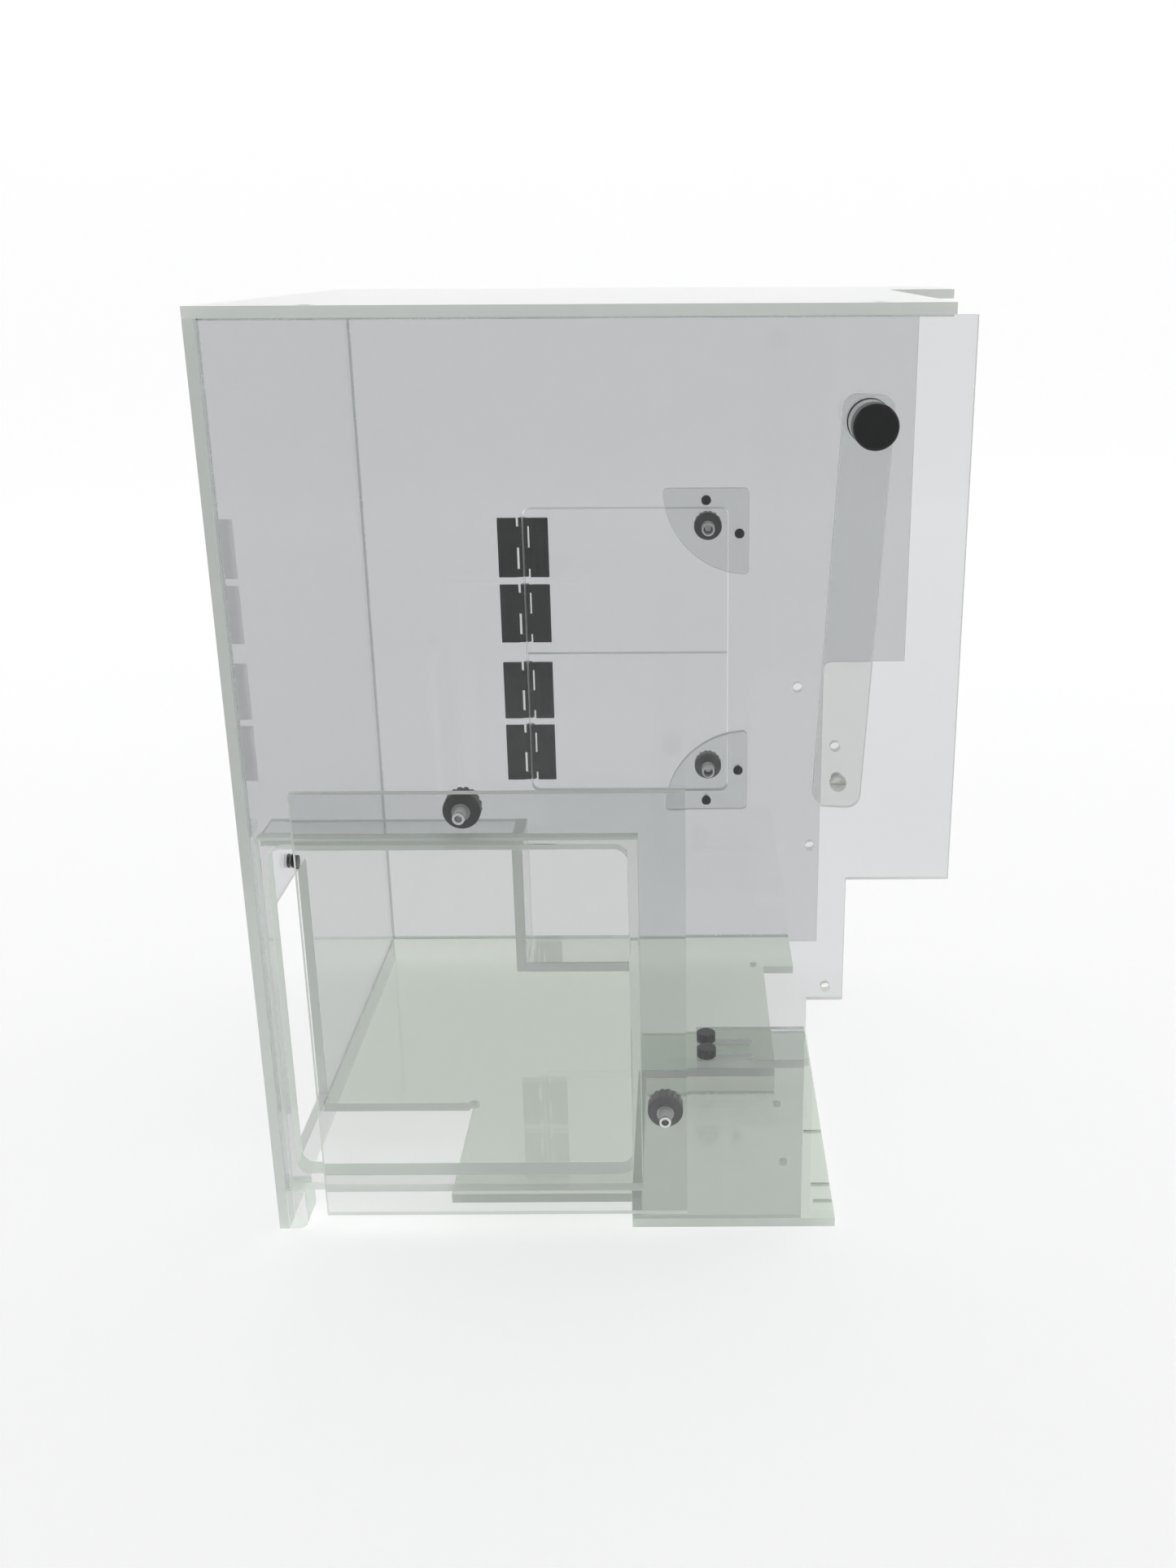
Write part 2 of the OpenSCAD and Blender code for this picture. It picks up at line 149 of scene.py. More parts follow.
# Noise scales count the features in a metre. Hairs run along X, as wiping
# leaves them: one unit of their noise is 70 mm long and 4 by 17 mm across
HAIR_TURN = (0.5, 0.9, 0.3)
HAIR_STRETCH = (14, 260, 60)
HAIR_ROUGH = 0.10
SMEAR_SCALE = 16.0
SMEAR_ROUGH = 0.03
SAW_SCALE = 900.0
SAW_ROUGH = (0.10, 0.24)


def cast_acrylic(name, across, face_tint):
    """Clear acrylic whose rolled faces look along the axis across."""
    material, tree, out = new_material(name)
    coords = add(tree, "ShaderNodeTexCoord")
    axes = add(tree, "ShaderNodeSeparateXYZ", {"Vector": coords.outputs["Normal"]})
    towards = add(tree, "ShaderNodeMath", {0: axes.outputs[across]}, operation="ABSOLUTE")
    is_face = add(
        tree,
        "ShaderNodeMapRange",
        {"Value": towards.outputs[0], "From Min": EDGE_BELOW, "From Max": FACE_ABOVE},
    )
    # Hairline scratches are a few hundredths of a millimetre wide: they are
    # drawn as the narrow peaks of a much coarser noise, or they wouldn't show
    stretch = add(
        tree,
        "ShaderNodeMapping",
        {
            "Vector": coords.outputs["Object"],
            "Rotation": HAIR_TURN,
            "Scale": HAIR_STRETCH,
        },
    )
    hairs = add(
        tree,
        "ShaderNodeTexNoise",
        {"Vector": stretch.outputs[0], "Scale": 1.0, "Detail": 3.0},
    )
    hair_mask = add(
        tree,
        "ShaderNodeMapRange",
        {
            "Value": hairs.outputs["Fac"],
            "From Min": 0.66,
            "From Max": 0.72,
            "To Max": HAIR_ROUGH,
        },
    )
    # Wiped smears, about 60 mm across
    smears = add(
        tree,
        "ShaderNodeTexNoise",
        {"Vector": coords.outputs["Object"], "Scale": SMEAR_SCALE, "Detail": 4.0},
    )
    smear_mask = add(
        tree,
        "ShaderNodeMapRange",
        {
            "Value": smears.outputs["Fac"],
            "From Min": 0.5,
            "From Max": 0.8,
            "To Max": SMEAR_ROUGH,
        },
    )
    face_rough = add(
        tree,
        "ShaderNodeMath",
        {0: hair_mask.outputs[0], 1: smear_mask.outputs[0]},
        operation="ADD",
    )
    # Saw marks on an edge run about 1 mm apart
    saw = add(
        tree,
        "ShaderNodeTexNoise",
        {"Vector": coords.outputs["Object"], "Scale": SAW_SCALE, "Detail": 2.0},
    )
    edge_rough = add(
        tree,
        "ShaderNodeMapRange",
        {
            "Value": saw.outputs["Fac"],
            "From Min": 0.3,
            "From Max": 0.7,
            "To Min": SAW_ROUGH[0],
            "To Max": SAW_ROUGH[1],
        },
    )
    rough = add(
        tree,
        "ShaderNodeMix",
        {"Factor": is_face.outputs[0], 2: edge_rough.outputs[0], 3: face_rough.outputs[0]},
    )
    tint = add(
        tree,
        "ShaderNodeMix",
        {"Factor": is_face.outputs[0], 6: EDGE_TINT, 7: face_tint},
        data_type="RGBA",
    )
    # A sawn edge scatters most of the light that meets it
    see_through = add(
        tree,
        "ShaderNodeMapRange",
        {"Value": is_face.outputs[0], "To Min": EDGE_CLEAR, "To Max": 1.0},
    )
    # The light that a sheet pipes to its edges makes them glow a little: paths
    # long enough to carry it would take hours to trace, so a faint glow is painted on the
    # edges here as emission
    painted_edge_glow = add(
        tree,
        "ShaderNodeMapRange",
        {"Value": is_face.outputs[0], "To Min": EDGE_GLOW, "To Max": 0.0},
    )
    sheet = add(
        tree,
        "ShaderNodeBsdfPrincipled",
        {
            "Base Color": tint.outputs[2],
            "Roughness": rough.outputs[0],
            "IOR": SHEET_IOR,
            "Transmission Weight": see_through.outputs[0],
            "Emission Color": EDGE_TINT,
            "Emission Strength": painted_edge_glow.outputs[0],
        },
    )
    # An edge also lets through, softened, the light that comes from behind it
    is_edge = add(
        tree,
        "ShaderNodeMapRange",
        {"Value": is_face.outputs[0], "To Min": EDGE_BACKLIT, "To Max": 0.0},
    )
    backlit = add(tree, "ShaderNodeBsdfTranslucent", {"Color": BACKLIT_TINT})
    skin = add(
        tree,
        "ShaderNodeMixShader",
        {0: is_edge.outputs[0], 1: sheet.outputs[0], 2: backlit.outputs[0]},
    )
    # A clear sheet hardly shades what is behind it
    clear = add(tree, "ShaderNodeBsdfTransparent", {"Color": SHADE_TINT})
    path = add(tree, "ShaderNodeLightPath")
    both = add(
        tree,
        "ShaderNodeMixShader",
        {0: path.outputs["Is Shadow Ray"], 1: skin.outputs[0], 2: clear.outputs[0]},
    )
    tree.links.new(both.outputs[0], out.inputs["Surface"])
    return material


CLEAR_SHEET = {
    axis: cast_acrylic(f"cast_acrylic_across_{axis.lower()}", axis, CLEAR_TINT)
    for axis in "XYZ"
}
TINTED_SHEET = {
    "X": cast_acrylic("tinted_acrylic_across_x", "X", GREY_PANEL_TINT),
    "Y": cast_acrylic("tinted_acrylic_across_y", "Y", GREY_PANEL_TINT),
    "Z": cast_acrylic("tinted_acrylic_across_z", "Z", GREEN_FLOOR_TINT),
}
print("acrylic materials", len(CLEAR_SHEET) + len(TINTED_SHEET))

# %% [markdown]
# ## Moulded black plastics
# The hinges are glass-filled nylon, moulded in a tool with a fine spark
# texture, so they are matt and slightly grey where light grazes them. The
# thumb knobs are a harder plastic with a satin skin. Both get their grain
# from noise at the size of the real texture, and a cloud of slightly lighter
# black over it, because handling never leaves a black part quite even. The
# small screws are blackened steel, made in the same way.


# %% Black plastics
PLASTIC_IOR = 1.53
# Clouds about 8 mm across
CLOUD_SCALE = 120.0


def moulded_black(name, hex_low, hex_high, rough_low, rough_high, grain_mm, depth_mm):
    """A black plastic with a moulded grain of a given size."""
    material, tree, out = new_material(name)
    coords = add(tree, "ShaderNodeTexCoord")
    grain = add(
        tree,
        "ShaderNodeTexNoise",
        {"Vector": coords.outputs["Object"], "Scale": 1 / (grain_mm * MM), "Detail": 3.0},
    )
    cloud = add(
        tree,
        "ShaderNodeTexNoise",
        {"Vector": coords.outputs["Object"], "Scale": CLOUD_SCALE, "Detail": 4.0},
    )
    shade = add(
        tree,
        "ShaderNodeMix",
        {"Factor": cloud.outputs["Fac"], 6: linear(hex_low), 7: linear(hex_high)},
        data_type="RGBA",
    )
    rough = add(
        tree,
        "ShaderNodeMapRange",
        {
            "Value": grain.outputs["Fac"],
            "From Min": 0.3,
            "From Max": 0.7,
            "To Min": rough_low,
            "To Max": rough_high,
        },
    )
    bump = add(
        tree,
        "ShaderNodeBump",
        {"Height": grain.outputs["Fac"], "Strength": 0.35, "Distance": depth_mm * MM},
    )
    skin = add(
        tree,
        "ShaderNodeBsdfPrincipled",
        {
            "Base Color": shade.outputs[2],
            "Roughness": rough.outputs[0],
            "Normal": bump.outputs[0],
            "IOR": PLASTIC_IOR,
        },
    )
    tree.links.new(skin.outputs[0], out.inputs["Surface"])
    return material


HINGE_NYLON = moulded_black(
    "glass_filled_nylon_black", "090a0b", "15171a", 0.55, 0.75, grain_mm=0.5, depth_mm=0.03
)
KNOB_PLASTIC = moulded_black(
    "satin_moulded_plastic_black",
    "08090a",
    "131517",
    0.28,
    0.42,
    grain_mm=0.7,
    depth_mm=0.02,
)
SCREW_BLACK = moulded_black(
    "blackened_steel", "101112", "1c1d1e", 0.30, 0.45, grain_mm=0.4, depth_mm=0.01
)
print("black materials", HINGE_NYLON.name, KNOB_PLASTIC.name, SCREW_BLACK.name)

# %% [markdown]
# ## Turned metal and natural nylon
# Studs, bushings and the knob's sleeve were turned on a lathe from aluminium.
# A lathe leaves fine rings round the axis, which stretch highlights across
# them. All these parts turn round Y or Z, so the rings are bands of noise
# along that axis. The pivot screw is uncoloured nylon: pale, soft and
# slightly see-through.


# %% Turned aluminium
# Feed marks 0.3 mm apart
FEED_SCALE = 3300.0
TURNED_ROUGH = (0.2, 0.36)


def turned_metal(name, along, hex_code):
    """Aluminium with tool rings that follow each other along an axis."""
    material, tree, out = new_material(name)
    coords = add(tree, "ShaderNodeTexCoord")
    axes = add(tree, "ShaderNodeSeparateXYZ", {"Vector": coords.outputs["Object"]})
    rings = add(
        tree,
        "ShaderNodeTexNoise",
        {"W": axes.outputs[along], "Scale": FEED_SCALE, "Detail": 2.0},
        noise_dimensions="1D",
    )
    rough = add(
        tree,
        "ShaderNodeMapRange",
        {
            "Value": rings.outputs["Fac"],
            "From Min": 0.3,
            "From Max": 0.7,
            "To Min": TURNED_ROUGH[0],
            "To Max": TURNED_ROUGH[1],
        },
    )
    bump = add(
        tree,
        "ShaderNodeBump",
        {"Height": rings.outputs["Fac"], "Strength": 0.25, "Distance": 0.02 * MM},
    )
    metal = add(
        tree,
        "ShaderNodeBsdfPrincipled",
        {
            "Base Color": linear(hex_code),
            "Metallic": 1.0,
            "Roughness": rough.outputs[0],
            "Normal": bump.outputs[0],
        },
    )
    tree.links.new(metal.outputs[0], out.inputs["Surface"])
    return material


TURNED_Y = turned_metal("turned_aluminium_along_y", "Y", "dcdddd")
TURNED_Z = turned_metal("turned_aluminium_along_z", "Z", "d2d3d4")

# %% Natural nylon
NATURAL_NYLON, tree, out = new_material("natural_nylon")
coords = add(tree, "ShaderNodeTexCoord")
mottle = add(
    tree, "ShaderNodeTexNoise", {"Vector": coords.outputs["Object"], "Scale": 500.0}
)
milk = add(
    tree,
    "ShaderNodeMix",
    {"Factor": mottle.outputs["Fac"], 6: linear("e9ebe8"), 7: linear("f5f5f2")},
    data_type="RGBA",
)
nylon = add(
    tree,
    "ShaderNodeBsdfPrincipled",
    {
        "Base Color": milk.outputs[2],
        "Roughness": 0.3,
        "IOR": PLASTIC_IOR,
        "Transmission Weight": 0.55,
    },
)
tree.links.new(nylon.outputs[0], out.inputs["Surface"])
print("metals and nylon", TURNED_Y.name, TURNED_Z.name, NATURAL_NYLON.name)

# %% [markdown]
# ## Sheets with broken edges
# A sawn sheet is never left with razor edges: a scraper takes off a few
# tenths of a millimetre. That small flat is what catches the light and draws
# a fine line round each panel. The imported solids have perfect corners, so
# each sheet is copied, its loose triangles are merged into flat faces, and a
# Bevel modifier breaks the edges. The copy is also drawn in by a few
# hundredths, so that two cemented faces never lie exactly on each other.

# %% Break the edges of the sheets
SCRAPED = 0.45 * MM
GLUE_GAP = 0.03 * MM
WELD = 0.002 * MM
FLAT_DEGREES = 0.6
SHARP_DEGREES = 32
LIES_ACROSS = {
    "top_panel": "Z",
    "floor_panel": "Z",
    "lower_floor": "Z",
    "ledge_plate": "Z",
    "duct_shelf": "Z",
    "slide_plate": "Z",
    "side_panel": "X",
    "side_riser": "X",
    "duct_wall": "X",
    "front_panel": "Y",
    "back_panel": "Y",
    "cross_riser": "Y",
    "corner_foot": "Y",
    "window_frame": "Y",
    "upper_keeper": "Y",
    "lower_keeper": "Y",
    "upper_door": "Y",
    "lower_door": "Y",
    "access_cover": "Y",
    "swing_arm": "Y",
}
BIG_PANELS = {
    "front_panel",
    "back_panel",
    "side_panel",
    "floor_panel",
    "lower_floor",
    "upper_door",
    "lower_door",
}


def softened(node, width, inset, material):
    """A copy of a CAD node with its sharp edges bevelled, in its place."""
    shell = bmesh.new()
    shell.from_mesh(nodes[node].data)
    bmesh.ops.remove_doubles(shell, verts=shell.verts, dist=WELD)
    bmesh.ops.dissolve_limit(
        shell,
        angle_limit=math.radians(FLAT_DEGREES),
        verts=shell.verts,
        edges=shell.edges,
    )
    mesh = bpy.data.meshes.new(f"{node}_finished")
    shell.to_mesh(mesh)
    shell.free()
    mesh.materials.append(material)
    for polygon in mesh.polygons:
        polygon.material_index = 0
        polygon.use_smooth = not inset
    piece = bpy.data.objects.new(f"{node}_finished", mesh)
    bpy.context.scene.collection.objects.link(piece)
    bevel = piece.modifiers.new("scraped", "BEVEL")
    bevel.width = width
    bevel.segments = 2
    bevel.limit_method = "ANGLE"
    bevel.angle_limit = math.radians(SHARP_DEGREES)
    bevel.harden_normals = not inset
    if inset:
        draw_in = piece.modifiers.new("draw_in", "DISPLACE")
        draw_in.mid_level = 0.0
        draw_in.strength = -inset
    return settle(piece)


def settle(piece):
    """Applies a piece's modifiers and leaves a plain mesh at the origin."""
    bpy.context.view_layer.update()
    graph = bpy.context.evaluated_depsgraph_get()
    plain = bpy.data.meshes.new_from_object(piece.evaluated_get(graph))
    piece.modifiers.clear()
    piece.data = plain
    plain.name = piece.name
    return piece


def stands_for(piece, node):
    """The piece takes the place of a CAD node on its body, with its finish."""
    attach(piece, BODY_OF[node])
    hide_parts(node)


def smooth(piece, degrees=30):
    """Smooth shading, except across edges sharper than the angle."""
    for polygon in piece.data.polygons:
        polygon.use_smooth = True
    piece.data.set_sharp_from_angle(angle=math.radians(degrees))


for node, across in LIES_ACROSS.items():
    sheets = TINTED_SHEET if node in BIG_PANELS else CLEAR_SHEET
    piece = softened(node, SCRAPED, GLUE_GAP, sheets[across])
    stands_for(piece, node)
    print(node, len(piece.data.polygons), "faces")

# %% [markdown]
# ## Hinges, screws and bushings
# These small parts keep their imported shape, because their knuckles, pockets
# and bores are right already. They only need the rounded corners that every
# moulded or turned part has, so the same softening serves, with a smaller
# width and no drawing in. A pin is a plain turned rod, and a stud a rod or a
# short tube with a collar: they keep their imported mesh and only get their
# metal.

# %% Soften the small parts
SMALL_PARTS = {
    "frame_hinge_leaves": (0.35, HINGE_NYLON),
    "upper_door_leaves": (0.35, HINGE_NYLON),
    "lower_door_leaves": (0.35, HINGE_NYLON),
    "keeper_screws": (0.3, SCREW_BLACK),
    "vent_plug": (0.3, KNOB_PLASTIC),
    "arm_pivot_screw": (0.4, NATURAL_NYLON),
    "arm_knob_base": (0.4, KNOB_PLASTIC),
    "keeper_bushings": (0.3, TURNED_Y),
}
for node, (width_mm, material) in SMALL_PARTS.items():
    piece = softened(node, width_mm * MM, 0, material)
    stands_for(piece, node)

TURNED_STOCK = {
    "hinge_pins": TURNED_Z,
    "upper_door_stud": TURNED_Y,
    "lower_door_stud": TURNED_Y,
    "top_cover_stud": TURNED_Y,
    "side_cover_stud": TURNED_Y,
}
for node, material in TURNED_STOCK.items():
    nodes[node].data.materials.clear()
    nodes[node].data.materials.append(material)
print("small parts", len(SMALL_PARTS), "pins and studs", len(TURNED_STOCK))

# %% [markdown]
# ## Thumb knobs, sleeve and cap
# A knob is a turned profile with flutes cut round its rim, so one rule makes
# it: walk round the axis and along the profile, and pull the radius in at
# each flute. A Geometry Nodes tree does that walk on a flat grid, which it
# then rolls up. The same tree makes the fluted thumb knobs, the knurled
# sleeve (two crossed spirals of shallow cuts) and the cap, whose face carries
# the fine rings of the tool that faced it.


# %% A tree that rolls a grid into a turned part
def curve_points(node, points):
    """Sets a Float Curve node to straight runs between points."""
    curve = node.mapping.curves[0]
    while len(curve.points) < len(points):
        curve.points.new(0.5, 0.5)
    for point, (x, y) in zip(curve.points, points):
        point.location = (x, y)
        point.handle_type = "VECTOR"
    node.mapping.update()


# Each profile runs from the foot of the part, at 0, to the middle of its end
# face, at 1: how far out it is, how high it is, and how deep the flutes are
FACE_FROM = 0.8
PROFILE_OUT = [(0, 0), (0.22, 0.92), (0.27, 1), (0.68, 1), (0.74, 0.95)]
PROFILE_OUT += [(FACE_FROM, 0.86), (1, 0)]
PROFILE_UP = [(0, 0), (0.22, 0), (0.27, 0.07), (0.68, 0.9), (0.74, 0.975)]
PROFILE_UP += [(FACE_FROM, 1), (1, 1)]
PROFILE_CUT = [(0, 0), (0.27, 0), (0.31, 1), (0.66, 1), (0.74, 0.9), (0.79, 0), (1, 0)]
INPUTS = {
    "Radius": 0.01,
    "Height": 0.01,
    "Flutes": 16.0,
    "Flute Depth": 0.0005,
    "Twist": 0.0,
    "Ring Depth": 0.0,
    "Rings": 0.0,
}


def turned_tree():
    """Builds the tree once: its inputs are in INPUTS, plus a material."""
    tree = bpy.data.node_groups.new("turned_part", "GeometryNodeTree")
    face = tree.interface
    face.new_socket("Geometry", in_out="OUTPUT", socket_type="NodeSocketGeometry")
    for label in INPUTS:
        face.new_socket(label, in_out="INPUT", socket_type="NodeSocketFloat")
    face.new_socket("Around", in_out="INPUT", socket_type="NodeSocketInt")
    face.new_socket("Along", in_out="INPUT", socket_type="NodeSocketInt")
    face.new_socket("Material", in_out="INPUT", socket_type="NodeSocketMaterial")
    given = add(tree, "NodeGroupInput")
    sheet = add(
        tree,
        "GeometryNodeMeshGrid",
        {
            "Size X": 1.0,
            "Size Y": 1.0,
            "Vertices X": given.outputs["Around"],
            "Vertices Y": given.outputs["Along"],
        },
    )
    where = add(tree, "GeometryNodeInputPosition")
    parts = add(tree, "ShaderNodeSeparateXYZ", {0: where.outputs[0]})

    # Around runs from 0 to a full turn, along from 0 to 1
    half_x = add(tree, "ShaderNodeMath", {0: parts.outputs[0], 1: 0.5}, operation="ADD")
    around = add(
        tree, "ShaderNodeMath", {0: half_x.outputs[0], 1: math.tau}, operation="MULTIPLY"
    )
    along = add(tree, "ShaderNodeMath", {0: parts.outputs[1], 1: 0.5}, operation="ADD")
    out_curve = add(tree, "ShaderNodeFloatCurve", {"Value": along.outputs[0]})
    curve_points(out_curve, PROFILE_OUT)
    up_curve = add(tree, "ShaderNodeFloatCurve", {"Value": along.outputs[0]})
    curve_points(up_curve, PROFILE_UP)
    cut_curve = add(tree, "ShaderNodeFloatCurve", {"Value": along.outputs[0]})
    curve_points(cut_curve, PROFILE_CUT)
    # Crossed cuts: the twist is zero on a straight fluted knob
    lean = add(
        tree,
        "ShaderNodeMath",
        {0: along.outputs[0], 1: given.outputs["Twist"]},
        operation="MULTIPLY",
    )
    turns = add(
        tree,
        "ShaderNodeMath",
        {0: around.outputs[0], 1: given.outputs["Flutes"]},
        operation="MULTIPLY",
    )
    right = add(
        tree, "ShaderNodeMath", {0: turns.outputs[0], 1: lean.outputs[0]}, operation="ADD"
    )
    left = add(
        tree,
        "ShaderNodeMath",
        {0: turns.outputs[0], 1: lean.outputs[0]},
        operation="SUBTRACT",
    )
    right_cut = add(tree, "ShaderNodeMath", {0: right.outputs[0]}, operation="COSINE")
    left_cut = add(tree, "ShaderNodeMath", {0: left.outputs[0]}, operation="COSINE")
    either = add(
        tree,
        "ShaderNodeMath",
        {0: right_cut.outputs[0], 1: left_cut.outputs[0]},
        operation="MAXIMUM",
    )
    notch = add(
        tree, "ShaderNodeMath", {0: either.outputs[0], 1: 0.0}, operation="MAXIMUM"
    )
    faded = add(
        tree,
        "ShaderNodeMath",
        {0: notch.outputs[0], 1: cut_curve.outputs[0]},
        operation="MULTIPLY",
    )
    depth = add(
        tree,
        "ShaderNodeMath",
        {0: faded.outputs[0], 1: given.outputs["Flute Depth"]},
        operation="MULTIPLY",
    )
    reach = add(
        tree,
        "ShaderNodeMath",
        {0: out_curve.outputs[0], 1: given.outputs["Radius"]},
        operation="MULTIPLY",
    )
    radius = add(
        tree,
        "ShaderNodeMath",
        {0: reach.outputs[0], 1: depth.outputs[0]},
        operation="SUBTRACT",
    )
    # Rings on the end face
    on_face = add(
        tree,
        "ShaderNodeMath",
        {0: along.outputs[0], 1: FACE_FROM},
        operation="GREATER_THAN",
    )
    phase = add(
        tree,
        "ShaderNodeMath",
        {0: along.outputs[0], 1: given.outputs["Rings"]},
        operation="MULTIPLY",
    )
    ripple = add(tree, "ShaderNodeMath", {0: phase.outputs[0]}, operation="COSINE")
    masked = add(
        tree,
        "ShaderNodeMath",
        {0: ripple.outputs[0], 1: on_face.outputs[0]},
        operation="MULTIPLY",
    )
    sink = add(
        tree,
        "ShaderNodeMath",
        {0: masked.outputs[0], 1: given.outputs["Ring Depth"]},
        operation="MULTIPLY",
    )
    rise = add(
        tree,
        "ShaderNodeMath",
        {0: up_curve.outputs[0], 1: given.outputs["Height"]},
        operation="MULTIPLY",
    )
    height = add(
        tree,
        "ShaderNodeMath",
        {0: rise.outputs[0], 1: sink.outputs[0]},
        operation="SUBTRACT",
    )
    across = add(tree, "ShaderNodeMath", {0: around.outputs[0]}, operation="COSINE")
    beside = add(tree, "ShaderNodeMath", {0: around.outputs[0]}, operation="SINE")
    place_x = add(
        tree,
        "ShaderNodeMath",
        {0: radius.outputs[0], 1: across.outputs[0]},
        operation="MULTIPLY",
    )
    place_y = add(
        tree,
        "ShaderNodeMath",
        {0: radius.outputs[0], 1: beside.outputs[0]},
        operation="MULTIPLY",
    )
    place = add(
        tree,
        "ShaderNodeCombineXYZ",
        {0: place_x.outputs[0], 1: place_y.outputs[0], 2: height.outputs[0]},
    )
    rolled = add(
        tree,
        "GeometryNodeSetPosition",
        {"Geometry": sheet.outputs["Mesh"], "Position": place.outputs[0]},
    )
    closed = add(
        tree,
        "GeometryNodeMergeByDistance",
        {"Geometry": rolled.outputs[0], "Distance": WELD},
    )
    real = add(tree, "GeometryNodeRealizeInstances", {"Geometry": closed.outputs[0]})
    finish = add(
        tree,
        "GeometryNodeSetMaterial",
        {"Geometry": real.outputs[0], "Material": given.outputs["Material"]},
    )
    result = add(tree, "NodeGroupOutput")
    tree.links.new(finish.outputs[0], result.inputs[0])
    return tree


def run_tree(name, tree, values, start=None):
    """Runs a tree on an object and returns the object as a plain mesh."""
    mesh = start or bpy.data.meshes.new(name)
    piece = bpy.data.objects.new(name, mesh)
    bpy.context.scene.collection.objects.link(piece)
    modifier = piece.modifiers.new("make", "NODES")
    modifier.node_group = tree
    for item in tree.interface.items_tree:
        if item.item_type == "SOCKET" and item.in_out == "INPUT" and item.name in values:
            modifier[item.identifier] = values[item.name]
    return settle(piece)


def outward(mesh):
    """Makes every face of a closed mesh point outwards."""
    shell = bmesh.new()
    shell.from_mesh(mesh)
    bmesh.ops.recalc_face_normals(shell, faces=shell.faces)
    shell.to_mesh(mesh)
    shell.free()


TURNED = turned_tree()
print("tree", TURNED.name, "inputs", list(INPUTS))


# %% Make the fluted and knurled pieces
def turned_piece(node, material, base, axis, values, around=193, along=61):
    """Runs the tree and stands the result at base, rising along axis."""
    settings = dict(INPUTS)
    settings.update(values)
    settings.update({"Around": around, "Along": along, "Material": material})
    piece = run_tree(f"{node}_finished", TURNED, settings)
    turn = Vector((0, 0, 1)).rotation_difference(Vector(axis)).to_matrix().to_4x4()
    piece.data.transform(Matrix.Translation(base) @ turn)
    outward(piece.data)
    smooth(piece, 40)
    return piece


THUMB_KNOBS = ["upper_door_knob", "lower_door_knob", "top_cover_knob", "side_cover_knob"]
for node in THUMB_KNOBS:
    low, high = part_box(node)
    piece = turned_piece(
        node,
        KNOB_PLASTIC,
        Vector(((low.x + high.x) / 2, low.y, (low.z + high.z) / 2)),
        (0, 1, 0),
        {
            "Radius": (high.x - low.x) / 2,
            "Height": high.y - low.y,
            "Flutes": 16.0,
            "Flute Depth": 0.9 * MM,
        },
    )
    stands_for(piece, node)
    print(node, len(piece.data.polygons), "faces")

low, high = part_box("arm_knob_grip")
sleeve = turned_piece(
    "arm_knob_grip",
    TURNED_Y,
    Vector(((low.x + high.x) / 2, high.y, (low.z + high.z) / 2)),
    (0, -1, 0),
    {
        "Radius": (high.x - low.x) / 2,
        "Height": high.y - low.y,
        "Flutes": 42.0,
        "Flute Depth": 0.35 * MM,
        "Twist": 60.0,
    },
    around=505,
    along=97,
)
stands_for(sleeve, "arm_knob_grip")

RING_DEPTH = 0.06 * MM
low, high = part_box("arm_knob_cap")
cap = turned_piece(
    "arm_knob_cap",
    KNOB_PLASTIC,
    Vector(((low.x + high.x) / 2, high.y, (low.z + high.z) / 2)),
    (0, -1, 0),
    {
        "Radius": (high.x - low.x) / 2,
        "Height": high.y - low.y - RING_DEPTH,
        "Flute Depth": 0.0,
        "Ring Depth": RING_DEPTH,
        "Rings": 380.0,
    },
    around=129,
    along=161,
)
stands_for(cap, "arm_knob_cap")
print("sleeve", len(sleeve.data.polygons), "cap", len(cap.data.polygons))

# %% [markdown]
# ## Slide screws
# Each screw that clamps the slide plate is a small fluted head on a bright
# stem. The same tree makes the head. The stem is a plain turned rod, joined
# to it, because the two were moulded together and turn as one.


# %% Slide screws
def rod_mesh(name, centre, low_z, high_z, radius, material):
    """A closed rod along Z."""
    shell = bmesh.new()
    bmesh.ops.create_cone(
        shell,
        cap_ends=True,
        segments=48,
        radius1=radius,
        radius2=radius,
        depth=high_z - low_z,
    )
    mesh = bpy.data.meshes.new(name)
    shell.to_mesh(mesh)
    shell.free()
    mesh.transform(Matrix.Translation((centre[0], centre[1], (low_z + high_z) / 2)))
    mesh.materials.append(material)
    return mesh


def joined(name, first, second):
    """One object from a piece and a mesh, both in their place."""
    other = bpy.data.objects.new("other", second)
    bpy.context.scene.collection.objects.link(other)
    with bpy.context.temp_override(
        active_object=first, object=first, selected_editable_objects=[first, other]
    ):
        bpy.ops.object.join()
    first.name = name
    return first


HEAD_HEIGHT = 7 * MM
STEM_RADIUS = 2 * MM
for node in ("near_slide_screw", "far_slide_screw"):
    low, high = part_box(node)
    middle = ((low.x + high.x) / 2, (low.y + high.y) / 2)
    head = turned_piece(
        node,
        KNOB_PLASTIC,
        Vector((middle[0], middle[1], high.z - HEAD_HEIGHT)),
        (0, 0, 1),
        {
            "Radius": (high.x - low.x) / 2,
            "Height": HEAD_HEIGHT,
            "Flutes": 12.0,
            "Flute Depth": 0.7 * MM,
        },
        around=145,
        along=45,
    )
    stem = rod_mesh(
        f"{node}_stem", middle, low.z, high.z - HEAD_HEIGHT / 2, STEM_RADIUS, TURNED_Z
    )
    piece = joined(f"{node}_finished", head, stem)
    smooth(piece, 40)
    stands_for(piece, node)
print("slide screws made")

# %% [markdown]
# ## Cement lines
# The sheets are stuck together with solvent cement, which creeps out of the
# joint and dries as a thin bead in each inside corner. Those beads draw the
# pale lines where panels meet. Each bead follows a straight line, so a small
# tree turns lines into curves, gives them a round profile whose width wanders
# a little, and fills the ends.

